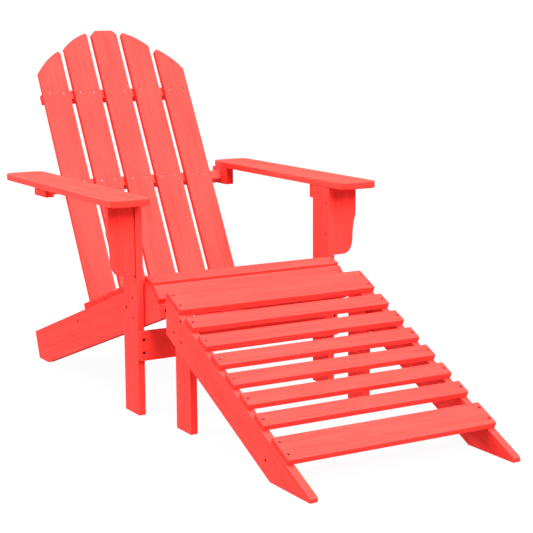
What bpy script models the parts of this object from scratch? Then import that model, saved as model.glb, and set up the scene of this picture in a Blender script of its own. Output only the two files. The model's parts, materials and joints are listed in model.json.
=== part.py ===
"""Adirondack chair with its matching ottoman: painted softwood boards held by steel screws.

Metres, +Z up. The sitter looks along -Y, and left and right are the sitter's, so left is +X.
The origin is on the floor, in the middle of the box around chair and ottoman together.
"""

import math

import bmesh
import bpy
from mathutils import Matrix, Vector

SIDES = {"left": 1.0, "right": -1.0}
X_AXIS = Vector((1.0, 0.0, 0.0))
Y_AXIS = Vector((0.0, 1.0, 0.0))
Z_AXIS = Vector((0.0, 0.0, 1.0))

# ---- boards: thickness of each stock, and the air left between pieces that touch ----
GAP = 0.0003
FRAME_STOCK = 0.019
SLAT_STOCK = 0.0155
ARM_STOCK = 0.018
STRETCHER_STOCK = 0.016
BATTEN = 0.0265
NARROW_SLAT = 0.043
WIDE_SLAT = 0.076

# ---- countersunk wood screws ----
HEAD_RADIUS = 0.0038
HEAD_DEPTH = 0.0024
SHANK_RADIUS = 0.0018
HEAD_SINK = 0.0012
BORE_CLEARANCE = 0.0004
BORE_LEAD_IN = 0.002
SCREW_SEGMENTS = 8
SLAT_SCREW = 0.030
FRAME_SCREW = 0.033
ARM_SCREW = 0.050
BAR_SCREW = 0.060

# ---- chair: Y counts back from the front faces of its front legs ----
CHAIR_HALF_WIDTH = 0.290
LEG_DEPTH = 0.080
ARM_HEIGHT = 0.555
ARM_UNDERSIDE = ARM_HEIGHT - ARM_STOCK
LEG_INNER_X = CHAIR_HALF_WIDTH - FRAME_STOCK
LEG_SCREWS = ((0.026, 0.297), (0.0635, 0.267), (0.026, 0.2455))

# Side rail, in its own plane: s runs down its top edge to the rear, n is square to that
# edge. The point s = n = 0 is on the top edge, above the legs' front faces.
RAIL_PITCH = math.radians(19.34)
RAIL_HEIGHT = 0.336
RAIL_WIDTH = 0.101
RAIL_FRONT = -0.065
RAIL_REAR = 0.789
RAIL_OUTER_X = LEG_INNER_X - GAP
RAIL_SCREW_X = RAIL_OUTER_X - FRAME_STOCK / 2
NOSE = ((-0.0103, 0.0), (-0.0368, -0.0176), (RAIL_FRONT, -0.0697))

SEAT_HALF_LENGTH = RAIL_OUTER_X - GAP
SEAT_SLAT_FRONT = 0.006
SEAT_GAP = 0.020
SEAT_NARROW_COUNT = 5
NOSE_UPPER_START = -0.0056
NOSE_LOWER_START = 0.0055
APRON_WIDTH = 0.034
WIDE_SCREW_INSET = 0.018

FRONT_STRETCHER_Z = (0.143, 0.217)
STRETCHER_SCREWS = (0.163, 0.196)

ARM_X = (0.272, 0.383)
ARM_Y = (-0.067, 0.651)
ARM_CORNER = 0.024
ARM_CORNER_SEGMENTS = 6

BRACKET_Y = 0.005
BRACKET_DEPTH = 0.070
BRACKET_BOTTOM = 0.356
BRACKET_STEP = 0.462
# Curves of a bracket's outer edge below its step, each as two handles and an end: how far
# out from the leg, and how high.
BRACKET_SCROLL = (
    ((0.0640, 0.441), (0.0605, 0.425), (0.0605, 0.400)),
    ((0.0605, 0.372), (0.0495, BRACKET_BOTTOM), (0.0300, BRACKET_BOTTOM)),
)
SCROLL_SEGMENTS = 6
BRACKET_SCREWS = (0.411, 0.495)

CLEAT_Y = (0.0235, 0.127)
CLEAT_THICK = 0.025
CLEAT_BOTTOM = 0.498
CLEAT_SCREW = (0.0535, 0.520)
CLEAT_ARM_SCREWS = (0.038, 0.108)

BLOCK_Y = (0.565, 0.649)
BLOCK_THICK = 0.0245
BLOCK_BOTTOM = 0.489
BLOCK_ARM_SCREW_Y = 0.583

# Backrest, in its own plane: x across, s up the slope from the floor, and rearward depth
# counted from the slats' front faces.
BACK_FOOT_Y = 0.297
BACK_RECLINE = math.radians(28.9)
BACK_BOTTOM = 0.185
BACK_SLAT_WIDTH = 0.0805
BACK_SLAT_PITCH = 0.0956
BACK_TOP = 1.0733
MIDDLE_TOP_HALF = 0.0275
MIDDLE_TOP_CORNER = 1.0608
ARC_SEGMENTS = 6
# Slat tops: (x, s) of the low inner corner and of the arc's start, then the s of the arc's
# end, which is on the slat's outer edge, and how far the arc bulges.
INNER_TOP = ((0.0553, 1.059), (0.059, 1.0655), 1.0190, 0.0053)
OUTER_TOP = ((0.151, 1.002), (0.158, 1.0088), 0.9418, 0.0059)
BACK_HALF_WIDTH = 2 * BACK_SLAT_PITCH + BACK_SLAT_WIDTH / 2
BACK_SCREW_X = 0.0205
CROSSBAR_DEPTH = 0.036
UPPER_BAR_HALF_LENGTH = BACK_HALF_WIDTH - 0.008
UPPER_BAR_S = 0.863
MIDDLE_BAR_S = 0.586
LOWER_BAR_S = 0.1915

# ---- ottoman: Y counts back from its rear end, so its slats are at negative Y ----
OTTOMAN_STANDOFF = 0.1345
OTTOMAN_PITCH = math.radians(25.39)
OTTOMAN_HEIGHT = 0.324
OTTOMAN_RAIL_WIDTH = 0.0823
OTTOMAN_LENGTH = 0.6568
TIP_CHAMFER = 0.003
OTTOMAN_HALF_WIDTH = 0.277
OTTOMAN_LEG_Y = (-0.0845, -0.0094)
OTTOMAN_LEG_SCREWS = ((0.0717, -0.0532), (0.0898, -0.0083), (0.1125, -0.0528))
OTTOMAN_NARROW_START = 0.1046
OTTOMAN_NARROW_PITCH = 0.0722
OTTOMAN_NARROW_COUNT = 6
OTTOMAN_LAST_START = 0.5475
FOOT_STRETCHER = (0.530, 0.564)
FOOT_STRETCHER_TOP = -0.041
FOOT_STRETCHER_THICK = 0.019

# ---- where the two frames stand: the set is centred on the origin ----
BACK_NORMAL_Y = math.cos(BACK_RECLINE)
SET_REAR = BACK_FOOT_Y + BACK_TOP * math.sin(BACK_RECLINE) + SLAT_STOCK * BACK_NORMAL_Y
SET_FRONT = -OTTOMAN_STANDOFF - OTTOMAN_LENGTH
CHAIR_Y = -(SET_REAR + SET_FRONT) / 2
OTTOMAN_Y = CHAIR_Y - OTTOMAN_STANDOFF


# ---- helpers ------------------------------------------------------------------------

def clear_scene():
    for item in list(bpy.data.objects):
        bpy.data.objects.remove(item, do_unlink=True)


def principled(name, colour, roughness, metallic=0.0):
    """Return a Principled material, made once for each name."""
    material = bpy.data.materials.get(name) or bpy.data.materials.new(name)
    material.use_nodes = True
    shader = material.node_tree.nodes["Principled BSDF"]
    shader.inputs["Base Color"].default_value = (*colour, 1.0)
    shader.inputs["Roughness"].default_value = roughness
    shader.inputs["Metallic"].default_value = metallic
    return material


def frame_paint():
    return principled("frame_paint", (0.78, 0.055, 0.045), 0.45)


def slat_paint():
    return principled("slat_paint", (0.82, 0.065, 0.055), 0.45)


def arm_paint():
    return principled("arm_paint", (0.82, 0.070, 0.060), 0.42)


def screw_steel():
    return principled("screw_steel", (0.58, 0.57, 0.55), 0.35, 1.0)


def placement(origin, u_axis, v_axis):
    """Frame at origin whose local X is u_axis, local Y is v_axis and local Z their cross."""
    rotation = Matrix((u_axis, v_axis, u_axis.cross(v_axis))).transposed()
    return Matrix.Translation(origin) @ rotation.to_4x4()


def add_object(name, mesh, place, parent, material):
    item = bpy.data.objects.new(name, mesh)
    bpy.context.collection.objects.link(item)
    if material:
        mesh.materials.append(material)
    item.parent = parent
    item.location = place.translation
    item.rotation_euler = place.to_euler()
    return item


def add_empty(name, location):
    item = bpy.data.objects.new(name, None)
    bpy.context.collection.objects.link(item)
    item.location = location
    return item


def board(name, outline, low, high, place, parent, material):
    """Extrude a closed outline of local (x, y) points from local z = low to z = high."""
    shape = bmesh.new()
    bottom = [shape.verts.new((x, y, low)) for x, y in outline]
    top = [shape.verts.new((x, y, high)) for x, y in outline]
    shape.faces.new(bottom)
    shape.faces.new(top)
    for index in range(len(outline)):
        after = (index + 1) % len(outline)
        shape.faces.new((bottom[index], bottom[after], top[after], top[index]))
    bmesh.ops.recalc_face_normals(shape, faces=shape.faces)
    mesh = bpy.data.meshes.new(name)
    shape.to_mesh(mesh)
    shape.free()
    return add_object(name, mesh, place, parent, material)


def rectangle(x_range, y_range):
    (x0, x1), (y0, y1) = x_range, y_range
    return [(x0, y0), (x1, y0), (x1, y1), (x0, y1)]


def mirrored(outline, side):
    return [(side * x, y) for x, y in outline]


def arc(start, end, bulge, segments):
    """Points on the circle arc from start to end that rises by bulge left of its chord."""
    start, end = Vector(start), Vector(end)
    chord = end - start
    radius = chord.length ** 2 / (8 * abs(bulge)) + abs(bulge) / 2
    across = Vector((-chord.y, chord.x)).normalized() * math.copysign(1.0, bulge)
    centre = (start + end) / 2 - across * (radius - abs(bulge))
    half_angle = math.asin(chord.length / (2 * radius))
    along = chord.normalized()
    points = []
    for step in range(segments + 1):
        angle = half_angle * (2 * step / segments - 1)
        points.append(tuple(centre + radius * (math.cos(angle) * across + math.sin(angle) * along)))
    return points


def bezier(p0, p1, p2, p3, segments):
    """Points on a cubic curve, its first end left out."""
    p0, p1, p2, p3 = (Vector(p) for p in (p0, p1, p2, p3))
    points = []
    for step in range(1, segments + 1):
        t = step / segments
        r = 1.0 - t
        points.append(tuple(r ** 3 * p0 + 3 * r * r * t * p1 + 3 * r * t * t * p2 + t ** 3 * p3))
    return points


def lathe(shape, profile, place):
    """Add a closed turned solid: (radius, height) pairs from the top down, round local Z."""
    rings = []
    for radius, height in profile:
        ring = []
        for step in range(SCREW_SEGMENTS):
            angle = 2 * math.pi * (step + 0.5) / SCREW_SEGMENTS
            spot = Vector((radius * math.cos(angle), radius * math.sin(angle), height))
            ring.append(shape.verts.new(place @ spot))
        rings.append(ring)
    shape.faces.new(rings[0])
    shape.faces.new(list(reversed(rings[-1])))
    for upper, lower in zip(rings, rings[1:]):
        for step in range(SCREW_SEGMENTS):
            after = (step + 1) % SCREW_SEGMENTS
            shape.faces.new((upper[step], lower[step], lower[after], upper[after]))


def screw_profile(length):
    return (
        (HEAD_RADIUS, -HEAD_SINK),
        (SHANK_RADIUS, -HEAD_SINK - HEAD_DEPTH),
        (SHANK_RADIUS, -length),
    )


def bore_profile(length):
    return (
        (HEAD_RADIUS + BORE_CLEARANCE, BORE_LEAD_IN),
        (HEAD_RADIUS + BORE_CLEARANCE, -HEAD_SINK),
        (SHANK_RADIUS + BORE_CLEARANCE, -HEAD_SINK - HEAD_DEPTH),
        (SHANK_RADIUS + BORE_CLEARANCE, -length - BORE_CLEARANCE),
    )


def screw_frame(point, inward):
    """Frame on the board's face, local Z pointing back out towards the screwdriver."""
    outward = -Vector(inward).normalized()
    seed = X_AXIS if abs(outward.x) < 0.5 else Z_AXIS
    u_axis = (seed - outward * seed.dot(outward)).normalized()
    return placement(Vector(point), u_axis, outward.cross(u_axis))


def bore_boards(name, drives, parent, boards):
    """Cut a countersunk bore for each drive out of every board that its screw passes.

    drives lists (point on the entry face, inward direction, length) in the parent's frame.
    """
    shape = bmesh.new()
    for point, inward, length in drives:
        lathe(shape, bore_profile(length), screw_frame(point, inward))
    mesh = bpy.data.meshes.new(name)
    shape.to_mesh(mesh)
    shape.free()
    cutter = add_object(name, mesh, Matrix.Identity(4), parent, screw_steel())
    cutter.hide_render = True
    cutter.display_type = "WIRE"
    for item in boards:
        cut = item.modifiers.new(name, "BOOLEAN")
        cut.operation = "DIFFERENCE"
        cut.solver = "EXACT"
        cut.object = cutter


def make_screws(name, drives, parent):
    """One object for each drive; they share the mesh of one screw."""
    shape = bmesh.new()
    lathe(shape, screw_profile(drives[0][2]), Matrix.Identity(4))
    mesh = bpy.data.meshes.new(name)
    shape.to_mesh(mesh)
    shape.free()
    mesh.shade_smooth()
    mesh.set_sharp_from_angle(angle=math.radians(30))
    mesh.materials.append(screw_steel())
    for index, (point, inward, _) in enumerate(drives):
        place = screw_frame(point, inward)
        add_object("{}_{}".format(name, index + 1), mesh, place, parent, None)


# ---- chair frame --------------------------------------------------------------------

RAIL_S = Vector((0.0, math.cos(RAIL_PITCH), -math.sin(RAIL_PITCH)))
RAIL_N = Vector((0.0, math.sin(RAIL_PITCH), math.cos(RAIL_PITCH)))
RAIL_START = Vector((0.0, 0.0, RAIL_HEIGHT))


def on_rail(x, s, n):
    return RAIL_START + X_AXIS * x + RAIL_S * s + RAIL_N * n


def rail_s_at_floor(n):
    """Distance down the rail at which the line at depth n meets the floor."""
    return (RAIL_HEIGHT + n * math.cos(RAIL_PITCH)) / math.sin(RAIL_PITCH)


def rail_n_at_floor(s):
    return (s * math.sin(RAIL_PITCH) - RAIL_HEIGHT) / math.cos(RAIL_PITCH)


def make_front_legs(chair):
    legs = {}
    for side, sign in SIDES.items():
        outline = rectangle((0.0, LEG_DEPTH), (0.0, ARM_UNDERSIDE - GAP))
        low = min(sign * LEG_INNER_X, sign * CHAIR_HALF_WIDTH)
        place = placement(Vector((low, 0.0, 0.0)), Y_AXIS, Z_AXIS)
        legs[side] = board("front_leg_" + side, outline, 0.0, FRAME_STOCK, place, chair,
                           frame_paint())
    return legs


def make_side_rails(chair):
    outline = [
        (RAIL_REAR, 0.0),
        *NOSE,
        (RAIL_FRONT, -RAIL_WIDTH),
        (rail_s_at_floor(-RAIL_WIDTH), -RAIL_WIDTH),
        (RAIL_REAR, rail_n_at_floor(RAIL_REAR)),
    ]
    rails = {}
    for side, sign in SIDES.items():
        low = min(sign * RAIL_OUTER_X, sign * (RAIL_OUTER_X - FRAME_STOCK))
        place = placement(on_rail(low, 0.0, 0.0), RAIL_S, RAIL_N)
        rails[side] = board("side_rail_" + side, outline, 0.0, FRAME_STOCK, place, chair,
                            frame_paint())
    return rails


def make_front_stretcher(chair):
    outline = rectangle((-CHAIR_HALF_WIDTH, CHAIR_HALF_WIDTH), FRONT_STRETCHER_Z)
    place = placement(Vector((0.0, -GAP, 0.0)), X_AXIS, Z_AXIS)
    return board("front_stretcher", outline, 0.0, STRETCHER_STOCK, place, chair,
                 frame_paint())


def fasten_frame(chair, legs, rails, stretcher):
    drives = []
    for sign in SIDES.values():
        for y, z in LEG_SCREWS:
            drives.append(((sign * CHAIR_HALF_WIDTH, y, z), X_AXIS * -sign, FRAME_SCREW))
    make_screws("leg_screw", drives, chair)
    bore_boards("leg_bores", drives, chair, [*legs.values(), *rails.values()])

    drives = []
    for sign in SIDES.values():
        x = sign * (LEG_INNER_X + FRAME_STOCK / 2)
        for z in STRETCHER_SCREWS:
            drives.append(((x, -GAP - STRETCHER_STOCK, z), Y_AXIS, FRAME_SCREW))
    bore_boards("stretcher_bores", drives, chair, [*legs.values(), stretcher])


# ---- seat ---------------------------------------------------------------------------

def seat_slat(name, start, along, offset, width, chair):
    """Slat across both rails; start is (s, n) on the rail, along the (s, n) direction that
    the slat's width follows, and offset how far along it the slat's first edge lies."""
    v_axis = (RAIL_S * along[0] + RAIL_N * along[1]).normalized()
    place = placement(on_rail(0.0, *start), X_AXIS, v_axis)
    outline = rectangle((-SEAT_HALF_LENGTH, SEAT_HALF_LENGTH), (offset, offset + width))
    return board(name, outline, GAP, GAP + SLAT_STOCK, place, chair, slat_paint())


def seat_plan():
    """Every seat slat as (name, start, along, offset, width, screw rows)."""
    narrow_mid = (NARROW_SLAT / 2,)
    wide_rows = (WIDE_SCREW_INSET, WIDE_SLAT - WIDE_SCREW_INSET)
    down = (1.0, 0.0)
    plan = []
    for index in range(SEAT_NARROW_COUNT):
        offset = SEAT_SLAT_FRONT + index * (NARROW_SLAT + SEAT_GAP)
        name = "seat_slat_{}".format(index + 1)
        plan.append((name, (0.0, 0.0), down, offset, NARROW_SLAT, narrow_mid))
    offset = SEAT_SLAT_FRONT + SEAT_NARROW_COUNT * (NARROW_SLAT + SEAT_GAP)
    plan.append(("seat_slat_rear", (0.0, 0.0), down, offset, WIDE_SLAT, wide_rows))

    top, middle, bottom = (Vector(point) for point in NOSE)
    upper, lower = top - middle, middle - bottom
    plan.append(("seat_nose_upper", middle, upper,
                 upper.length - NOSE_UPPER_START - NARROW_SLAT, NARROW_SLAT, narrow_mid))
    plan.append(("seat_nose_lower", bottom, lower,
                 lower.length - NOSE_LOWER_START - NARROW_SLAT, NARROW_SLAT, narrow_mid))
    plan.append(("seat_apron", (RAIL_FRONT, -RAIL_WIDTH), (0.0, 1.0),
                 0.0, APRON_WIDTH, (APRON_WIDTH / 2,)))
    return plan


def make_seat(chair, rails):
    slats = []
    drives = []
    for name, start, along, offset, width, rows in seat_plan():
        slats.append(seat_slat(name, start, along, offset, width, chair))
        place = slats[-1].matrix_basis
        inward = -place.col[2].to_3d()
        for sign in SIDES.values():
            for row in rows:
                local = Vector((sign * RAIL_SCREW_X, offset + row, GAP + SLAT_STOCK))
                drives.append((place @ local, inward, SLAT_SCREW))
    bore_boards("seat_bores", drives, chair, [*slats, *rails.values()])


# ---- arms ---------------------------------------------------------------------------

def make_armrests(chair):
    (x0, x1), (y0, y1) = ARM_X, ARM_Y
    r = ARM_CORNER
    bulge = r * (1.0 - math.sqrt(0.5))
    corners = (
        ((x0, y0 + r), (x0 + r, y0)),
        ((x1 - r, y0), (x1, y0 + r)),
        ((x1, y1 - r), (x1 - r, y1)),
        ((x0 + r, y1), (x0, y1 - r)),
    )
    outline = []
    for start, end in corners:
        outline.extend(arc(start, end, -bulge, ARM_CORNER_SEGMENTS))
    arms = {}
    for side, sign in SIDES.items():
        place = placement(Vector((0.0, 0.0, ARM_UNDERSIDE)), X_AXIS, Y_AXIS)
        arms[side] = board("armrest_" + side, mirrored(outline, sign), 0.0, ARM_STOCK, place,
                           chair, arm_paint())
    return arms


def make_arm_brackets(chair):
    """Scrolled brackets that stand square to the legs' outer faces, under the armrests."""
    inner = CHAIR_HALF_WIDTH + GAP
    outer = inner + BRACKET_DEPTH
    top = ARM_UNDERSIDE - GAP
    outline = [(inner, BRACKET_BOTTOM), (inner, top), (outer, top), (outer, BRACKET_STEP)]
    for curve in BRACKET_SCROLL:
        handles = [(inner + out, height) for out, height in curve]
        outline += bezier(outline[-1], *handles, SCROLL_SEGMENTS)
    brackets = {}
    for side, sign in SIDES.items():
        place = placement(Vector((0.0, BRACKET_Y, 0.0)), X_AXIS, Z_AXIS)
        brackets[side] = board("arm_bracket_" + side, mirrored(outline, sign), -ARM_STOCK, 0.0,
                               place, chair, frame_paint())
    return brackets


def make_arm_cleats(chair):
    """Strips behind the brackets, screwed to the legs and up into the armrests."""
    inner = CHAIR_HALF_WIDTH + GAP
    outline = rectangle((inner, inner + CLEAT_THICK), CLEAT_Y)
    cleats = {}
    for side, sign in SIDES.items():
        place = placement(Vector((0.0, 0.0, CLEAT_BOTTOM)), X_AXIS, Y_AXIS)
        height = ARM_UNDERSIDE - GAP - CLEAT_BOTTOM
        cleats[side] = board("arm_cleat_" + side, mirrored(outline, sign), 0.0, height, place,
                             chair, frame_paint())
    return cleats


def make_rear_arm_blocks(chair):
    """Blocks under the armrests' rear ends, which carry the middle crossbar's ends."""
    outline = rectangle((ARM_X[0], ARM_X[0] + BLOCK_THICK), BLOCK_Y)
    blocks = {}
    for side, sign in SIDES.items():
        place = placement(Vector((0.0, 0.0, BLOCK_BOTTOM)), X_AXIS, Y_AXIS)
        height = ARM_UNDERSIDE - GAP - BLOCK_BOTTOM
        blocks[side] = board("rear_arm_block_" + side, mirrored(outline, sign), 0.0, height,
                             place, chair, frame_paint())
    return blocks


def fasten_arms(chair, legs, arms, brackets, cleats, blocks):
    drives = []
    for sign in SIDES.values():
        outward = X_AXIS * sign
        for z in BRACKET_SCREWS:
            point = (sign * LEG_INNER_X, BRACKET_Y + ARM_STOCK / 2, z)
            drives.append((point, outward, FRAME_SCREW))
        drives.append(((sign * LEG_INNER_X, *CLEAT_SCREW), outward, FRAME_SCREW))
    bore_boards("arm_bracket_bores", drives, chair,
                [*legs.values(), *brackets.values(), *cleats.values()])

    drives = []
    for sign in SIDES.values():
        cleat_x = sign * (CHAIR_HALF_WIDTH + GAP + CLEAT_THICK / 2)
        for y in CLEAT_ARM_SCREWS:
            drives.append(((cleat_x, y, CLEAT_BOTTOM), Z_AXIS, ARM_SCREW))
        block_x = sign * (ARM_X[0] + BLOCK_THICK / 2)
        drives.append(((block_x, BLOCK_ARM_SCREW_Y, BLOCK_BOTTOM), Z_AXIS, BAR_SCREW))
    bore_boards("armrest_bores", drives, chair,
                [*arms.values(), *cleats.values(), *blocks.values()])


# ---- backrest -----------------------------------------------------------------------

BACK_S = Vector((0.0, math.sin(BACK_RECLINE), math.cos(BACK_RECLINE)))
BACK_FRONT = X_AXIS.cross(BACK_S)
BACK_FOOT = Vector((0.0, BACK_FOOT_Y, 0.0))


def back_point(x, s, depth):
    """Point in the chair's frame at (x, s) on the back, depth behind its front face."""
    return BACK_FOOT + X_AXIS * x + BACK_S * s - BACK_FRONT * depth


def back_placement():
    return placement(BACK_FOOT, X_AXIS, BACK_S)


def curved_top(top):
    """Outline of a slat on the left of the middle one, its top following an arc."""
    corner, start, end_s, bulge = top
    inner_x = corner[0]
    outer_x = inner_x + BACK_SLAT_WIDTH
    return [(inner_x, BACK_BOTTOM), corner,
            *arc(start, (outer_x, end_s), bulge, ARC_SEGMENTS), (outer_x, BACK_BOTTOM)]


def back_outlines():
    """Slat outlines from the sitter's right to the sitter's left."""
    half = BACK_SLAT_WIDTH / 2
    middle = [(-half, BACK_BOTTOM), (-half, MIDDLE_TOP_CORNER), (-MIDDLE_TOP_HALF, BACK_TOP),
              (MIDDLE_TOP_HALF, BACK_TOP), (half, MIDDLE_TOP_CORNER), (half, BACK_BOTTOM)]
    inner, outer = curved_top(INNER_TOP), curved_top(OUTER_TOP)
    return [mirrored(outer, -1), mirrored(inner, -1), middle, inner, outer]


def make_back_slats(chair):
    slats = []
    for index, outline in enumerate(back_outlines()):
        name = "back_slat_{}".format(index + 1)
        slats.append(board(name, outline, -SLAT_STOCK, 0.0, back_placement(), chair,
                           slat_paint()))
    return slats


def make_crossbar(name, low_s, half_length, chair):
    outline = rectangle((-half_length, half_length), (low_s, low_s + BATTEN))
    near = SLAT_STOCK + GAP
    return board(name, outline, -near - CROSSBAR_DEPTH, -near, back_placement(), chair,
                 frame_paint())


def make_back(chair, rails, blocks):
    slats = make_back_slats(chair)
    rail_inner_x = RAIL_OUTER_X - FRAME_STOCK
    upper = make_crossbar("back_crossbar_upper", UPPER_BAR_S, UPPER_BAR_HALF_LENGTH, chair)
    middle = make_crossbar("back_crossbar_middle", MIDDLE_BAR_S, ARM_X[0] - GAP, chair)
    lower = make_crossbar("back_crossbar_lower", LOWER_BAR_S, rail_inner_x - GAP, chair)

    drives = []
    for low_s in (UPPER_BAR_S, MIDDLE_BAR_S, LOWER_BAR_S):
        for index in range(-2, 3):
            for offset in (-BACK_SCREW_X, BACK_SCREW_X):
                x = index * BACK_SLAT_PITCH + offset
                point = back_point(x, low_s + BATTEN / 2, 0.0)
                drives.append((point, -BACK_FRONT, SLAT_SCREW))
    bore_boards("back_slat_bores", drives, chair, [*slats, upper, middle, lower])

    bar_depth = SLAT_STOCK + GAP + CROSSBAR_DEPTH / 2
    drives = []
    for sign in SIDES.values():
        block_face = sign * (ARM_X[0] + BLOCK_THICK)
        point = back_point(block_face, MIDDLE_BAR_S + BATTEN / 2, bar_depth)
        drives.append((point, X_AXIS * -sign, BAR_SCREW))
        point = back_point(sign * RAIL_OUTER_X, LOWER_BAR_S + BATTEN / 2, bar_depth)
        drives.append((point, X_AXIS * -sign, BAR_SCREW))
    make_screws("crossbar_screw", drives, chair)
    bore_boards("crossbar_bores", drives, chair,
                [middle, lower, *rails.values(), *blocks.values()])


# ---- ottoman ------------------------------------------------------------------------

OTTOMAN_S = Vector((0.0, -math.cos(OTTOMAN_PITCH), -math.sin(OTTOMAN_PITCH)))
OTTOMAN_N = Vector((0.0, -math.sin(OTTOMAN_PITCH), math.cos(OTTOMAN_PITCH)))
OTTOMAN_TOP = Vector((0.0, 0.0, OTTOMAN_HEIGHT))


def ottoman_edge_z(y, n):
    """Height at y of the line that runs n above the rail's top edge."""
    return OTTOMAN_HEIGHT + y * math.tan(OTTOMAN_PITCH) + n / math.cos(OTTOMAN_PITCH)


def ottoman_side_drive(sign, s, n):
    """Screw driven through a rail from outside, s down its top edge and n above it."""
    face = X_AXIS * sign * OTTOMAN_HALF_WIDTH
    point = OTTOMAN_TOP + face + OTTOMAN_S * s + OTTOMAN_N * n
    return (point, X_AXIS * -sign, FRAME_SCREW)


def make_ottoman_rails(ottoman):
    front = -OTTOMAN_LENGTH
    floor_y = -ottoman_edge_z(0.0, -OTTOMAN_RAIL_WIDTH) / math.tan(OTTOMAN_PITCH)
    outline = [
        (0.0, ottoman_edge_z(0.0, -OTTOMAN_RAIL_WIDTH)),
        (0.0, OTTOMAN_HEIGHT),
        (front + TIP_CHAMFER, ottoman_edge_z(front + TIP_CHAMFER, 0.0)),
        (front, ottoman_edge_z(front, 0.0) - TIP_CHAMFER),
        (front, TIP_CHAMFER),
        (front + TIP_CHAMFER, 0.0),
        (floor_y, 0.0),
    ]
    rails = {}
    for side, sign in SIDES.items():
        low = min(sign * OTTOMAN_HALF_WIDTH, sign * (OTTOMAN_HALF_WIDTH - FRAME_STOCK))
        place = placement(Vector((low, 0.0, 0.0)), Y_AXIS, Z_AXIS)
        rails[side] = board("ottoman_rail_" + side, outline, 0.0, FRAME_STOCK, place, ottoman,
                            frame_paint())
    return rails


def make_ottoman_legs(ottoman):
    front, rear = OTTOMAN_LEG_Y
    outline = [(front, 0.0), (rear, 0.0), (rear, ottoman_edge_z(rear, 0.0)),
               (front, ottoman_edge_z(front, 0.0))]
    outer = OTTOMAN_HALF_WIDTH - FRAME_STOCK - GAP
    legs = {}
    for side, sign in SIDES.items():
        low = min(sign * outer, sign * (outer - FRAME_STOCK))
        place = placement(Vector((low, 0.0, 0.0)), Y_AXIS, Z_AXIS)
        legs[side] = board("ottoman_leg_" + side, outline, 0.0, FRAME_STOCK, place, ottoman,
                           frame_paint())
    return legs


def make_foot_stretcher(ottoman):
    """Bar between the rails under the last slat, clear of the floor."""
    half = OTTOMAN_HALF_WIDTH - FRAME_STOCK - GAP
    place = placement(OTTOMAN_TOP, -X_AXIS, OTTOMAN_S)
    return board("ottoman_foot_stretcher", rectangle((-half, half), FOOT_STRETCHER),
                 FOOT_STRETCHER_TOP - FOOT_STRETCHER_THICK, FOOT_STRETCHER_TOP, place, ottoman,
                 frame_paint())


def ottoman_slat_plan():
    """Every ottoman slat as (first edge, width, screw rows), from the top down."""
    wide_rows = (WIDE_SCREW_INSET, WIDE_SLAT - WIDE_SCREW_INSET)
    plan = [(0.0, WIDE_SLAT, wide_rows)]
    for index in range(OTTOMAN_NARROW_COUNT):
        start = OTTOMAN_NARROW_START + index * OTTOMAN_NARROW_PITCH
        plan.append((start, NARROW_SLAT, (NARROW_SLAT / 2,)))
    plan.append((OTTOMAN_LAST_START, WIDE_SLAT, wide_rows))
    return plan


def make_ottoman(ottoman):
    rails = make_ottoman_rails(ottoman)
    legs = make_ottoman_legs(ottoman)
    stretcher = make_foot_stretcher(ottoman)

    place = placement(OTTOMAN_TOP, -X_AXIS, OTTOMAN_S)
    screw_x = OTTOMAN_HALF_WIDTH - FRAME_STOCK / 2
    slats = []
    drives = []
    for index, (start, width, rows) in enumerate(ottoman_slat_plan()):
        outline = rectangle((-OTTOMAN_HALF_WIDTH, OTTOMAN_HALF_WIDTH), (start, start + width))
        name = "ottoman_slat_{}".format(index + 1)
        slats.append(board(name, outline, GAP, GAP + SLAT_STOCK, place, ottoman, slat_paint()))
        for sign in SIDES.values():
            for row in rows:
                local = Vector((sign * screw_x, start + row, GAP + SLAT_STOCK))
                drives.append((place @ local, -OTTOMAN_N, SLAT_SCREW))
    bore_boards("ottoman_slat_bores", drives, ottoman, [*slats, *rails.values()])

    drives = []
    for sign in SIDES.values():
        for s, n in OTTOMAN_LEG_SCREWS:
            drives.append(ottoman_side_drive(sign, s, n))
    make_screws("ottoman_leg_screw", drives, ottoman)
    bore_boards("ottoman_leg_bores", drives, ottoman, [*rails.values(), *legs.values()])

    middle_s = sum(FOOT_STRETCHER) / 2
    middle_n = FOOT_STRETCHER_TOP - FOOT_STRETCHER_THICK / 2
    drives = [ottoman_side_drive(sign, middle_s, middle_n) for sign in SIDES.values()]
    bore_boards("foot_stretcher_bores", drives, ottoman, [*rails.values(), stretcher])


# ---- the set ------------------------------------------------------------------------

def make_chair(chair):
    legs = make_front_legs(chair)
    rails = make_side_rails(chair)
    stretcher = make_front_stretcher(chair)
    fasten_frame(chair, legs, rails, stretcher)
    make_seat(chair, rails)
    arms = make_armrests(chair)
    brackets = make_arm_brackets(chair)
    cleats = make_arm_cleats(chair)
    blocks = make_rear_arm_blocks(chair)
    fasten_arms(chair, legs, arms, brackets, cleats, blocks)
    make_back(chair, rails, blocks)


def main():
    clear_scene()
    make_chair(add_empty("chair_frame", (0.0, CHAIR_Y, 0.0)))
    make_ottoman(add_empty("ottoman_frame", (0.0, OTTOMAN_Y, 0.0)))


main()
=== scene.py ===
"""Looks of the adirondack chair and its ottoman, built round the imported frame.

Every painted board stands for its CAD board: the same outline, read from the frame, with eased
edges, bored and countersunk where the frame's board is. Every screw sits in one of those bores.
Metres, +Z up; the sitter looks along -Y and left is +X.
"""
import json
import math
import random

import bmesh
import bpy
from mathutils import Matrix, Vector


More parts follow.
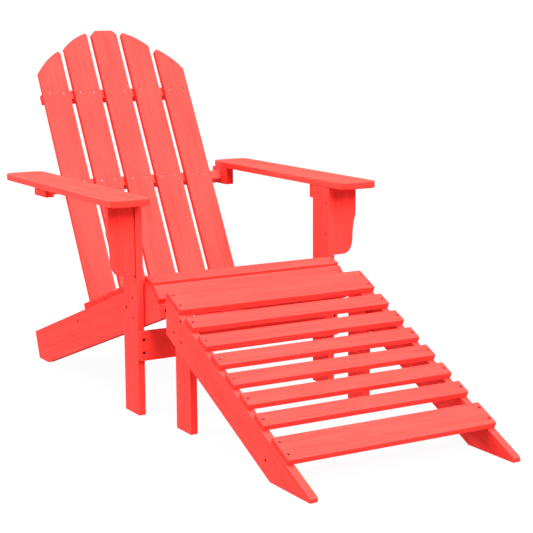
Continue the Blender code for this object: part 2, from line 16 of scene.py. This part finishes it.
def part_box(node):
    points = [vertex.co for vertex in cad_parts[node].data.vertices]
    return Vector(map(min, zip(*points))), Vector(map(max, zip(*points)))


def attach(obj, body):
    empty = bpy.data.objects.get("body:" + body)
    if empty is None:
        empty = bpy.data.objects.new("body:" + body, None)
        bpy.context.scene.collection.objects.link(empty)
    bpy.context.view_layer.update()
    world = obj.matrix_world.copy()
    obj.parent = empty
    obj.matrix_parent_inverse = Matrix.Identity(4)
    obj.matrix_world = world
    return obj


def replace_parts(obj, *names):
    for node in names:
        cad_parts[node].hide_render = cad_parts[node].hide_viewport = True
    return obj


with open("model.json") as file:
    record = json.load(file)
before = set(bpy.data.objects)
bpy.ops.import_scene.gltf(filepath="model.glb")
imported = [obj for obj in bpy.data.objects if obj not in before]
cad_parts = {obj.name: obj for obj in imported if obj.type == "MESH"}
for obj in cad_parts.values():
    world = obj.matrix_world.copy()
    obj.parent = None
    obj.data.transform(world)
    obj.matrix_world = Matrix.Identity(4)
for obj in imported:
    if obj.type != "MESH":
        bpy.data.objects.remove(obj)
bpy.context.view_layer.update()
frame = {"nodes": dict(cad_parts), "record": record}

NODES = frame["nodes"]
RECORD = frame["record"]
BODY_OF = {node: body for body, nodes in RECORD["behaviour"]["bodies"].items() for node in nodes}
SLOT_OF = {part["node"]: part["material_slot"] for part in RECORD["subparts"]}
BOARDS = [node for node in sorted(NODES) if "screw" not in node]
CAD_SCREWS = [node for node in sorted(NODES) if "screw" in node]

# ---- camera and studio --------------------------------------------------------------
CAMERA_SPOT = (-1.8241, -3.3035, 1.0144)
CAMERA_AZIMUTH = math.radians(-30.112)
CAMERA_ELEVATION = math.radians(9.997)
CAMERA_ROLL = math.radians(-0.334)
CAMERA_LENS = 100.65
SENSOR = 36.0
CLIP_END = 1000.0
FLOOR_RADIUS = 400.0
FLOOR_SEGMENTS = 64
RIM_HEIGHT = 220.0
FLOOR_DROP = 0.0003
FLOOR_GREY = (0.012, 0.012, 0.012, 1.0)
FLOOR_ROUGHNESS = 0.9
FLOOR_SHEEN = 0.1
FLOOR_GLOW = 0.95
WORLD_GLOW = 0.05
WHITE = (1.0, 1.0, 1.0, 1.0)
# Each lamp's name, the direction it shines from, its strength and its spread in degrees.
LAMPS = (
    ("overhead", (-0.05, -0.12, 0.99), 11.0, 46.0),
    ("front", (0.06, -0.78, 0.62), 10.0, 40.0),
    ("side", (-0.85, 0.45, 0.38), 6.0, 40.0),
)

# ---- edges of the boards ------------------------------------------------------------
EASE = {"frame_paint": 0.0014, "slat_paint": 0.0014, "arm_paint": 0.0026}
EASE_STEPS = 3
EASE_PROFILE = 0.5
MERGE_ANGLE = math.radians(1)
CORNER_ANGLE = math.radians(22)
SHARP_ANGLE = math.radians(36)
FLAT_COSINE = math.cos(math.radians(3))
END_COSINE = math.cos(math.radians(55))
HAIR = 0.00001
# Decimals to which corners, bores and areas are compared, so that their order is steady.
SPOT_DIGITS = 5
DRIVE_DIGITS = 4
AREA_DIGITS = 7

# ---- screws and the bores they sit in -----------------------------------------------
HEAD_RADIUS = 0.0037
HEAD_DEPTH = 0.0026
HEAD_SINK = 0.0012
HEAD_CHAMFER = 0.0003
SHANK_RADIUS = 0.0018
POINT_LENGTH = 0.005
POINT_RADIUS = 0.0002
BORE_CLEARANCE = 0.0004
BORE_FLARE = 0.0002
BORE_LIP = 0.001
BORE_CORNERS = 8
ROUND_STEPS = 24
STEEP = 0.9
# A ring of points on a face is the mouth of a bore if its radius lies between these.
RING_RADIUS = (0.0036, 0.0050)
RING_REACH = 0.004
ON_FACE = 2 * HAIR
CLEAR_OF_EDGE = 10 * HAIR
RECESS_ARM = 0.0023
RECESS_WIDTH = 0.0009
RECESS_DEPTH = 0.0015
RECESS_TAPER = 0.4
SCREW_LENGTH = {"front_leg": 0.033, "side_rail": 0.060, "front_stretcher": 0.033,
                "arm_cleat": 0.050, "rear_arm_block": 0.060, "ottoman_rail": 0.033}
SLAT_SCREW_LENGTH = 0.030
TWIST_SEED = 11
MM_PER_METRE = 1000

# ---- wood, paint and steel ----------------------------------------------------------
# Where a board's middle may lie in its tree: along the pith, beside it and away from it.
PITH_ALONG = (0.0, 40.0)
PITH_BESIDE = (-0.06, 0.06)
PITH_AWAY = (0.03, 0.12)
# Each layer of the wood: its scale along the grain and across it, its detail and roughness.
GRAIN_LAYERS = {
    "fibre": ((9.0, 420.0, 420.0), 3.0, 0.6),
    "streak": ((2.6, 120.0, 120.0), 3.0, 0.6),
    "pores": ((40.0, 1500.0, 1500.0), 2.0, 0.5),
    "mottle": ((6.0, 22.0, 22.0), 3.0, 0.6),
}
PEEL_SCALE = 900.0
FINE_DETAIL = 2.0
FINE_ROUGHNESS = 0.5
NOISE_MIDDLE = (0.5, 0.5, 0.5)
WANDER_SCALE = (1.6, 9.0, 9.0)
WANDER_REACH = (0.0, 0.030, 0.030)
RING_SCALE = 46.0
RING_DISTORTION = 1.5
RING_DETAIL = 2.0
RING_DETAIL_SCALE = 0.4
RING_SHARPNESS = 2.2
# How much of each layer goes into each property of the paint.
TINT_SHARES = {"late_wood": 0.30, "fibre": 0.35, "streak": 0.55, "mottle": 0.55}
SHEEN_SHARES = {"streak": -0.18, "fibre": -0.08, "mottle": -0.10, "end": -0.06}
GLOSS_SHARES = {"fibre": 0.16, "late_wood": -0.06, "end": 0.12}
RELIEF_SHARES = {"late_wood": 0.9, "fibre": 0.9, "streak": 0.8, "pores": 0.35, "peel": 0.15}
TINT_FLOOR = 0.35
SHEEN = 0.40
SHEEN_TINT = (1.0, 0.96, 0.84, 1.0)
WEAR_FLOOR = 0.38
WEAR_GAIN = 2.4
SOAKED_SHARE = 0.35
SOAKED_RED = 0.6
SOAKED_GREEN = 0.004
SOAKED_BLUE = 0.003
RELIEF_STRENGTH = 0.6
RELIEF_HEIGHT = 0.0006
# Each paint's colour where it lies thick, where it has sunk in and where it is worn, and how
# rough it is.
PAINT_LOOKS = {
    "frame_paint": ((0.64, 0.0195, 0.0150, 1.0), (0.54, 0.0090, 0.0070, 1.0),
                    (0.68, 0.034, 0.027, 1.0), 0.66),
    "slat_paint": ((0.66, 0.0205, 0.0160, 1.0), (0.56, 0.0095, 0.0078, 1.0),
                   (0.70, 0.036, 0.029, 1.0), 0.74),
    "arm_paint": ((0.66, 0.0260, 0.0195, 1.0), (0.57, 0.0125, 0.0098, 1.0),
                  (0.70, 0.040, 0.032, 1.0), 0.64),
}
# Painted shade: both steel colours are kept far darker than zinc plating, so the sunk screw heads
# read dark. The patchy dulling between them is real.
STEEL_CLEAN_SHADED = (0.09, 0.088, 0.085, 1.0)
STEEL_DULL_SHADED = (0.03, 0.029, 0.028, 1.0)
STEEL_PATCH_SCALE = 260.0
STEEL_PATCH_DETAIL = 3.0
STEEL_PATCH_ROUGHNESS = 0.6
STEEL_SCRATCH_SCALE = (4000.0, 300.0, 300.0)
STEEL_ROUGHNESS = 0.2
STEEL_DULLING = 0.3
SCRATCH_STRENGTH = 0.2
SCRATCH_HEIGHT = 0.0001


# ---- outlines from the frame --------------------------------------------------------

def cad_points(node):
    """The corners of a CAD board, each once."""
    spots = {}
    for vertex in NODES[node].data.vertices:
        spots[tuple(round(c, SPOT_DIGITS) for c in vertex.co)] = vertex.co.copy()
    return [spots[key] for key in sorted(spots)]


def hull_of(node):
    """The CAD board without its bores: the convex solid around its corners."""
    shape = bmesh.new()
    for spot in cad_points(node):
        shape.verts.new(spot)
    made = bmesh.ops.convex_hull(shape, input=shape.verts)
    inside = {v for v in made["geom_interior"] + made["geom_unused"]
              if isinstance(v, bmesh.types.BMVert)}
    bmesh.ops.delete(shape, geom=list(inside), context="VERTS")
    return shape


def bracket_of(node):
    """A scrolled bracket isn't convex, so its outline is its front face, grown to its depth."""
    shape = bmesh.new()
    shape.from_mesh(NODES[node].data)
    bmesh.ops.remove_doubles(shape, verts=shape.verts, dist=HAIR)
    low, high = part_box(node)
    front = [f for f in shape.faces if all(v.co.y < low.y + HAIR for v in f.verts)]
    kept = set(front)
    bmesh.ops.delete(shape, geom=[f for f in shape.faces if f not in kept], context="FACES")
    loose = [v for v in shape.verts if not v.link_faces]
    bmesh.ops.delete(shape, geom=loose, context="VERTS")
    grown = bmesh.ops.extrude_face_region(shape, geom=list(shape.faces), use_keep_orig=True)
    moved = [v for v in grown["geom"] if isinstance(v, bmesh.types.BMVert)]
    bmesh.ops.translate(shape, verts=moved, vec=(0.0, high.y - low.y, 0.0))
    bmesh.ops.recalc_face_normals(shape, faces=shape.faces)
    return shape


def outline_of(node):
    shape = bracket_of(node) if node.startswith("arm_bracket") else hull_of(node)
    bmesh.ops.dissolve_limit(shape, angle_limit=MERGE_ANGLE, verts=shape.verts,
                             edges=shape.edges)
    bmesh.ops.recalc_face_normals(shape, faces=shape.faces)
    return shape


def grain_frame(shape):
    """Frame at the board's middle: X along its longest edge, Z through its thickness."""
    longest = max(shape.edges, key=lambda e: (round(e.calc_length(), SPOT_DIGITS), e.index))
    ends = sorted((v.co.copy() for v in longest.verts), key=tuple)
    along = (ends[1] - ends[0]).normalized()
    broad = max(shape.faces,
                key=lambda f: (round(f.calc_area(), AREA_DIGITS), f.normal.z, f.index))
    through = broad.normal.copy()
    across = through.cross(along).normalized()
    through = along.cross(across)
    axes = (along, across, through)
    middle = Vector((0.0, 0.0, 0.0))
    for axis in axes:
        values = [vertex.co.dot(axis) for vertex in shape.verts]
        middle += axis * (max(values) + min(values)) / 2
    place = Matrix(axes).transposed().to_4x4()
    place.translation = middle
    return place


# ---- bores: read off the frame's boards ---------------------------------------------

def rings_of(points):
    """Groups of points that lie within RING_REACH of one another."""
    left = list(points)
    rings = []
    while left:
        ring = [left.pop()]
        for spot in ring:
            near = [p for p in left if (p - spot).length < RING_REACH]
            left = [p for p in left if (p - spot).length >= RING_REACH]
            ring.extend(near)
        rings.append(ring)
    return rings


def screw_length(node):
    for start, length in SCREW_LENGTH.items():
        if node.startswith(start):
            return length
    return SLAT_SCREW_LENGTH


def drives_of(node, shape):
    """(point on the face, outward direction, length) of each screw whose head is in a board."""
    points = cad_points(node)
    drives = []
    for face in shape.faces:
        normal = face.normal.copy()
        level = face.verts[0].co.dot(normal)
        edge_free = [p for p in points if abs(p.dot(normal) - level) < ON_FACE
                     and all(inside_edge(p, loop, normal) for loop in face.loops)]
        for ring in rings_of(edge_free):
            centre = sum(ring, Vector()) / len(ring)
            radius = sum((p - centre).length for p in ring) / len(ring)
            if len(ring) == BORE_CORNERS and RING_RADIUS[0] < radius < RING_RADIUS[1]:
                drives.append((centre, normal, screw_length(node)))
    drives.sort(key=lambda drive: tuple(round(c, DRIVE_DIGITS) for c in drive[0]))
    return drives


def inside_edge(point, loop, normal):
    """Whether a point is clear of one edge of a face, on the face's side of it."""
    start = loop.vert.co
    along = loop.link_loop_next.vert.co - start
    return normal.cross(along).normalized().dot(point - start) > CLEAR_OF_EDGE


# ---- turned shapes ------------------------------------------------------------------

def turned(shape, profile, place):
    """Add a closed solid of revolution: (radius, height) pairs from the top down, round Z."""
    rings = []
    for radius, height in profile:
        ring = []
        for step in range(ROUND_STEPS):
            angle = 2 * math.pi * step / ROUND_STEPS
            spot = Vector((radius * math.cos(angle), radius * math.sin(angle), height))
            ring.append(shape.verts.new(place @ spot))
        rings.append(ring)
    shape.faces.new(rings[0])
    shape.faces.new(list(reversed(rings[-1])))
    for upper, lower in zip(rings, rings[1:]):
        for step in range(ROUND_STEPS):
            after = (step + 1) % ROUND_STEPS
            shape.faces.new((upper[step], lower[step], lower[after], upper[after]))


def drive_frame(point, outward, twist=0.0):
    """Frame at a screw's point on the face, with Z outward, turned round it by twist."""
    seed = Vector((0.0, 0.0, 1.0)) if abs(outward.z) < STEEP else Vector((0.0, 1.0, 0.0))
    across = (seed - outward * seed.dot(outward)).normalized()
    axes = (across, outward.cross(across), outward)
    place = Matrix(axes).transposed().to_4x4()
    place.translation = point
    return place @ Matrix.Rotation(twist, 4, "Z")


def bore_profile(length):
    head = HEAD_RADIUS + BORE_CLEARANCE
    shank = SHANK_RADIUS + BORE_CLEARANCE
    return (
        (head + BORE_FLARE, BORE_LIP),
        (head + BORE_FLARE, 0.0),
        (head, -HEAD_SINK),
        (shank, -HEAD_SINK - HEAD_DEPTH),
        (shank, -length - BORE_CLEARANCE),
    )


def screw_profile(length):
    return (
        (HEAD_RADIUS - HEAD_CHAMFER, -HEAD_SINK),
        (HEAD_RADIUS, -HEAD_SINK - HEAD_CHAMFER),
        (HEAD_RADIUS, -HEAD_SINK - 2 * HEAD_CHAMFER),
        (SHANK_RADIUS, -HEAD_SINK - HEAD_DEPTH),
        (SHANK_RADIUS, -length + POINT_LENGTH),
        (POINT_RADIUS, -length),
    )


def object_from(name, shape):
    mesh = bpy.data.meshes.new(name)
    shape.to_mesh(mesh)
    shape.free()
    item = bpy.data.objects.new(name, mesh)
    bpy.context.scene.collection.objects.link(item)
    return item


def cut_away(item, cutter):
    """Take the cutter out of the item's mesh, and the cutter out of the scene."""
    cut = item.modifiers.new("cut", "BOOLEAN")
    cut.operation = "DIFFERENCE"
    cut.solver = "EXACT"
    cut.object = cutter
    bpy.context.view_layer.update()
    graph = bpy.context.evaluated_depsgraph_get()
    mesh = bpy.data.meshes.new_from_object(item.evaluated_get(graph))
    item.modifiers.clear()
    item.data = mesh
    mesh.name = item.name
    bpy.data.objects.remove(cutter, do_unlink=True)


# ---- materials ----------------------------------------------------------------------

class Shading:
    """A material's node tree, with short ways to add and join nodes."""

    def __init__(self, name):
        self.material = bpy.data.materials.new(name)
        self.material.use_nodes = True
        self.tree = self.material.node_tree
        self.shader = self.tree.nodes["Principled BSDF"]

    def node(self, kind, inputs=None, **settings):
        made = self.tree.nodes.new(kind)
        for key, value in settings.items():
            setattr(made, key, value)
        for key, value in (inputs or {}).items():
            if isinstance(value, bpy.types.NodeSocket):
                self.tree.links.new(value, made.inputs[key])
            else:
                made.inputs[key].default_value = value
        return made

    def math(self, operation, first, second, clamp=False):
        return self.node("ShaderNodeMath", {0: first, 1: second}, operation=operation,
                         use_clamp=clamp).outputs[0]

    def stretch(self, vector, scale):
        made = self.node("ShaderNodeMapping", {"Vector": vector, "Scale": scale},
                         vector_type="POINT")
        return made.outputs["Vector"]

    def noise(self, vector, scale, detail, roughness):
        made = self.node("ShaderNodeTexNoise", {"Vector": vector, "Scale": scale,
                                                "Detail": detail, "Roughness": roughness})
        return made.outputs["Fac"]

    def mix(self, factor, low, high):
        """One colour turning into another. A mix node's colours are its inputs 6 and 7."""
        made = self.node("ShaderNodeMix", {"Factor": factor, 6: low, 7: high},
                         data_type="RGBA")
        return made.outputs[2]

    def blend(self, layers, shares):
        """The sum of the named layers, each times its share."""
        parts = [self.math("MULTIPLY", layers[name], share) for name, share in shares.items()]
        total = parts[0]
        for part in parts[1:]:
            total = self.math("ADD", total, part)
        return total

    def relief(self, height, strength, distance):
        bump = self.node("ShaderNodeBump", {"Height": height, "Strength": strength,
                                            "Distance": distance})
        self.feed("Normal", bump.outputs["Normal"])

    def feed(self, name, value):
        if isinstance(value, bpy.types.NodeSocket):
            self.tree.links.new(value, self.shader.inputs[name])
        else:
            self.shader.inputs[name].default_value = value


def tree_rings(shading, board):
    """Late wood round the tree's pith, pushed about by the slow wander of the trunk."""
    wander = shading.node("ShaderNodeTexNoise",
                          {"Vector": shading.stretch(board, WANDER_SCALE),
                           "Scale": 1.0, "Detail": RING_DETAIL}).outputs["Color"]
    centred = shading.node("ShaderNodeVectorMath", {0: wander, 1: NOISE_MIDDLE},
                           operation="SUBTRACT").outputs[0]
    pushed = shading.node("ShaderNodeVectorMath", {0: centred, 1: WANDER_REACH},
                          operation="MULTIPLY").outputs[0]
    trunk = shading.node("ShaderNodeVectorMath", {0: board, 1: pushed},
                         operation="ADD").outputs[0]
    rings = shading.node("ShaderNodeTexWave",
                         {"Vector": trunk, "Scale": RING_SCALE, "Distortion": RING_DISTORTION,
                          "Detail": RING_DETAIL, "Detail Scale": RING_DETAIL_SCALE},
                         wave_type="RINGS", rings_direction="X", wave_profile="SAW")
    return shading.math("POWER", rings.outputs["Fac"], RING_SHARPNESS)


def painted_wood(name, light, dark, worn, roughness):
    """Satin paint over softwood: growth rings and fibres show through as relief and tint."""
    shading = Shading(name)
    board = shading.node("ShaderNodeAttribute", attribute_name="grain_spot").outputs["Vector"]
    edge = shading.node("ShaderNodeAttribute", attribute_name="edge").outputs["Fac"]
    end = shading.node("ShaderNodeAttribute", attribute_name="end_grain").outputs["Fac"]
    layers = {"late_wood": tree_rings(shading, board), "end": end}
    for layer, (scale, detail, detail_roughness) in GRAIN_LAYERS.items():
        layers[layer] = shading.noise(shading.stretch(board, scale), 1.0, detail,
                                      detail_roughness)
    layers["peel"] = shading.noise(board, PEEL_SCALE, FINE_DETAIL, FINE_ROUGHNESS)

    tint = shading.blend(layers, TINT_SHARES)
    tint = shading.math("SUBTRACT", tint, TINT_FLOOR, clamp=True)
    colour = shading.mix(tint, light, dark)
    wear = shading.math("SUBTRACT", layers["mottle"], WEAR_FLOOR, clamp=True)
    wear = shading.math("MULTIPLY", edge, wear)
    wear = shading.math("MULTIPLY", wear, WEAR_GAIN, clamp=True)
    colour = shading.mix(wear, colour, worn)
    soaked = (dark[0] * SOAKED_RED, SOAKED_GREEN, SOAKED_BLUE, 1.0)
    soaking = shading.math("MULTIPLY", end, SOAKED_SHARE)
    shading.feed("Base Color", shading.mix(soaking, colour, soaked))

    # The paint has sunk into the fibres and the end grain, which are duller for it.
    sheen = shading.blend(layers, SHEEN_SHARES)
    shading.feed("Specular IOR Level", shading.math("ADD", sheen, SHEEN))
    shading.feed("Specular Tint", SHEEN_TINT)
    gloss = shading.blend(layers, GLOSS_SHARES)
    shading.feed("Roughness", shading.math("ADD", gloss, roughness))
    shading.relief(shading.blend(layers, RELIEF_SHARES), RELIEF_STRENGTH, RELIEF_HEIGHT)
    return shading.material


def screw_steel():
    """Zinc-plated steel, dulled in patches, and darkened all over as painted shade on the heads
    sunk in their bores.
    """
    shading = Shading("zinc_steel")
    spot = shading.node("ShaderNodeTexCoord").outputs["Object"]
    patches = shading.noise(spot, STEEL_PATCH_SCALE, STEEL_PATCH_DETAIL, STEEL_PATCH_ROUGHNESS)
    scratches = shading.noise(shading.stretch(spot, STEEL_SCRATCH_SCALE), 1.0, FINE_DETAIL,
                              FINE_ROUGHNESS)
    # Painted shade: the base colour is far darker than zinc, so the heads look dark in their
    # bores.
    shading.feed("Base Color", shading.mix(patches, STEEL_CLEAN_SHADED, STEEL_DULL_SHADED))
    shading.feed("Metallic", 1.0)
    dulling = shading.math("MULTIPLY", patches, STEEL_DULLING)
    shading.feed("Roughness", shading.math("ADD", dulling, STEEL_ROUGHNESS))
    shading.relief(scratches, SCRATCH_STRENGTH, SCRATCH_HEIGHT)
    return shading.material


PAINTS = {slot: painted_wood(slot + "_satin", *look) for slot, look in PAINT_LOOKS.items()}
STEEL = screw_steel()


# ---- boards -------------------------------------------------------------------------

def board_bores(drives, low, high):
    """The screws, from any board, whose bores reach into the box from low to high."""
    found = []
    for point, outward, length in drives:
        ends = (point + outward * BORE_LIP, point - outward * length)
        if all(min(e[i] for e in ends) - HEAD_RADIUS < high[i] and
               max(e[i] for e in ends) + HEAD_RADIUS > low[i] for i in range(3)):
            found.append((point, outward, length))
    return found


def mark_grain(mesh, seed, flats):
    """Store where each vertex lies in its tree, and which faces are eased edges or end grain.

    flats lists the outward directions of the board's own flat faces, in its grain frame.
    """
    chance = random.Random(seed)
    pith = Vector([chance.uniform(*span) for span in (PITH_ALONG, PITH_BESIDE, PITH_AWAY)])
    spots = [c for vertex in mesh.vertices for c in vertex.co + pith]
    mesh.attributes.new("grain_spot", "FLOAT_VECTOR", "POINT")
    mesh.attributes["grain_spot"].data.foreach_set("vector", spots)
    eased = [float(max(face.normal.dot(flat) for flat in flats) < FLAT_COSINE)
             for face in mesh.polygons]
    mesh.attributes.new("edge", "FLOAT", "FACE")
    mesh.attributes["edge"].data.foreach_set("value", eased)
    ends = [float(abs(face.normal.x) > END_COSINE) for face in mesh.polygons]
    mesh.attributes.new("end_grain", "FLOAT", "FACE")
    mesh.attributes["end_grain"].data.foreach_set("value", ends)


def make_board(node, shape, drives, seed):
    ease = EASE[SLOT_OF[node]]
    place = grain_frame(shape)
    low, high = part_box(node)
    bmesh.ops.transform(shape, matrix=place.inverted(), verts=shape.verts)
    flats = [face.normal.copy() for face in shape.faces]
    corners = [e for e in shape.edges if e.calc_face_angle(0.0) > CORNER_ANGLE]
    bmesh.ops.bevel(shape, geom=corners, offset=ease, offset_type="OFFSET",
                    segments=EASE_STEPS, profile=EASE_PROFILE, affect="EDGES", clamp_overlap=True)
    item = object_from(node + "_board", shape)

    inner = board_bores(drives, low, high)
    if inner:
        bores = bmesh.new()
        for point, outward, length in inner:
            turned(bores, bore_profile(length), place.inverted() @ drive_frame(point, outward))
        cut_away(item, object_from("bores", bores))

    mesh = item.data
    mark_grain(mesh, seed, flats)
    mesh.transform(place)
    mesh.shade_smooth()
    mesh.set_sharp_from_angle(angle=SHARP_ANGLE)
    mesh.materials.clear()
    mesh.materials.append(PAINTS[SLOT_OF[node]])
    flat = item.modifiers.new("flat faces", "WEIGHTED_NORMAL")
    flat.keep_sharp = True
    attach(item, BODY_OF[node])
    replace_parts(item, node)


# ---- screws -------------------------------------------------------------------------

def screw_mesh(length):
    """A countersunk wood screw with a cross recess, its head's face HEAD_SINK below z = 0."""
    shape = bmesh.new()
    turned(shape, screw_profile(length), Matrix.Identity(4))
    item = object_from("screw_{:.0f}".format(length * MM_PER_METRE), shape)
    for turn in (0.0, math.pi / 2):
        slot = bmesh.new()
        for reach, height in ((RECESS_ARM, BORE_LIP), (RECESS_ARM * RECESS_TAPER, -RECESS_DEPTH)):
            for x in (-reach, reach):
                for y in (-RECESS_WIDTH / 2, RECESS_WIDTH / 2):
                    slot.verts.new((x, y, height - HEAD_SINK))
        bmesh.ops.convex_hull(slot, input=slot.verts)
        bmesh.ops.rotate(slot, verts=slot.verts, matrix=Matrix.Rotation(turn, 3, "Z"))
        cut_away(item, object_from("slot", slot))
    mesh = item.data
    bpy.data.objects.remove(item, do_unlink=True)
    mesh.shade_smooth()
    mesh.set_sharp_from_angle(angle=SHARP_ANGLE)
    mesh.materials.clear()
    mesh.materials.append(STEEL)
    return mesh


def add_steel(name, mesh, board):
    item = bpy.data.objects.new(name, mesh)
    bpy.context.scene.collection.objects.link(item)
    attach(item, BODY_OF[board])
    return item


def make_screws(drives_by_board):
    """A screw in every bore. One that is a node of the frame stands for that node; the rest
    are joined, a set for each kind of board."""
    meshes = {}
    chance = random.Random(TWIST_SEED)
    middles = {node: sum(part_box(node), Vector()) / 2 for node in CAD_SCREWS}
    sets = {}
    for board, drives in drives_by_board.items():
        for point, outward, length in drives:
            if length not in meshes:
                meshes[length] = screw_mesh(length)
            mesh = meshes[length].copy()
            mesh.transform(drive_frame(point, outward, chance.uniform(0.0, math.pi)))
            middle = point - outward * length / 2
            nodes = [n for n, spot in middles.items() if (spot - middle).length < RING_REACH]
            if nodes:
                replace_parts(add_steel(nodes[0] + "_steel", mesh, board), nodes[0])
            else:
                kind = "_".join(board.split("_")[:2])
                sets.setdefault(kind, (board, bmesh.new()))[1].from_mesh(mesh)
    for kind, (board, shape) in sets.items():
        mesh = bpy.data.meshes.new(kind + "_screws")
        shape.to_mesh(mesh)
        shape.free()
        mesh.materials.append(STEEL)
        add_steel(kind + "_screws", mesh, board)


# ---- studio -------------------------------------------------------------------------

def make_camera():
    data = bpy.data.cameras.new("camera")
    data.lens = CAMERA_LENS
    data.sensor_width = SENSOR
    data.clip_end = CLIP_END
    camera = bpy.data.objects.new("camera", data)
    bpy.context.scene.collection.objects.link(camera)
    back = Vector((math.sin(CAMERA_AZIMUTH) * math.cos(CAMERA_ELEVATION),
                   -math.cos(CAMERA_AZIMUTH) * math.cos(CAMERA_ELEVATION),
                   math.sin(CAMERA_ELEVATION)))
    right = Vector((math.cos(CAMERA_AZIMUTH), math.sin(CAMERA_AZIMUTH), 0.0))
    place = Matrix((right, back.cross(right), back)).transposed().to_4x4()
    place = place @ Matrix.Rotation(CAMERA_ROLL, 4, "Z")
    place.translation = CAMERA_SPOT
    camera.matrix_world = place
    bpy.context.scene.camera = camera


def make_sun(name, towards, strength, spread):
    data = bpy.data.lights.new(name, "SUN")
    data.energy = strength
    data.angle = math.radians(spread)
    sun = bpy.data.objects.new(name, data)
    bpy.context.scene.collection.objects.link(sun)
    sun.rotation_euler = Vector(towards).to_track_quat("Z", "Y").to_euler()


def make_studio():
    """A pale round floor with a far rim behind it, faintly lit air and three soft lamps."""
    shape = bmesh.new()
    bmesh.ops.create_circle(shape, cap_ends=True, radius=FLOOR_RADIUS, segments=FLOOR_SEGMENTS)
    rim = bmesh.ops.extrude_edge_only(shape, edges=shape.edges)
    lifted = [v for v in rim["geom"] if isinstance(v, bmesh.types.BMVert)]
    bmesh.ops.translate(shape, verts=lifted, vec=(0.0, 0.0, RIM_HEIGHT))
    floor = object_from("floor", shape)
    floor.location.z = -FLOOR_DROP
    # The rim hides the horizon; it must not hide the lamps, or show in the paint's sheen.
    floor.visible_glossy = False
    floor.visible_shadow = False
    shading = Shading("lit_table")
    shading.feed("Base Color", FLOOR_GREY)
    shading.feed("Roughness", FLOOR_ROUGHNESS)
    shading.feed("Specular IOR Level", FLOOR_SHEEN)
    shading.feed("Emission Color", WHITE)
    shading.feed("Emission Strength", FLOOR_GLOW)
    floor.data.materials.append(shading.material)

    world = bpy.data.worlds.new("studio")
    bpy.context.scene.world = world
    world.use_nodes = True
    background = world.node_tree.nodes["Background"]
    background.inputs["Color"].default_value = WHITE
    background.inputs["Strength"].default_value = WORLD_GLOW
    for lamp in LAMPS:
        make_sun(*lamp)


# ---- the set ------------------------------------------------------------------------

make_camera()
shapes = {node: outline_of(node) for node in BOARDS}
drives_by_board = {node: drives_of(node, shapes[node]) for node in BOARDS}
all_drives = [drive for drives in drives_by_board.values() for drive in drives]
for number, node in enumerate(BOARDS):
    make_board(node, shapes[node], all_drives, number)
make_screws(drives_by_board)
make_studio()
bpy.context.scene.view_settings.view_transform = "Standard"
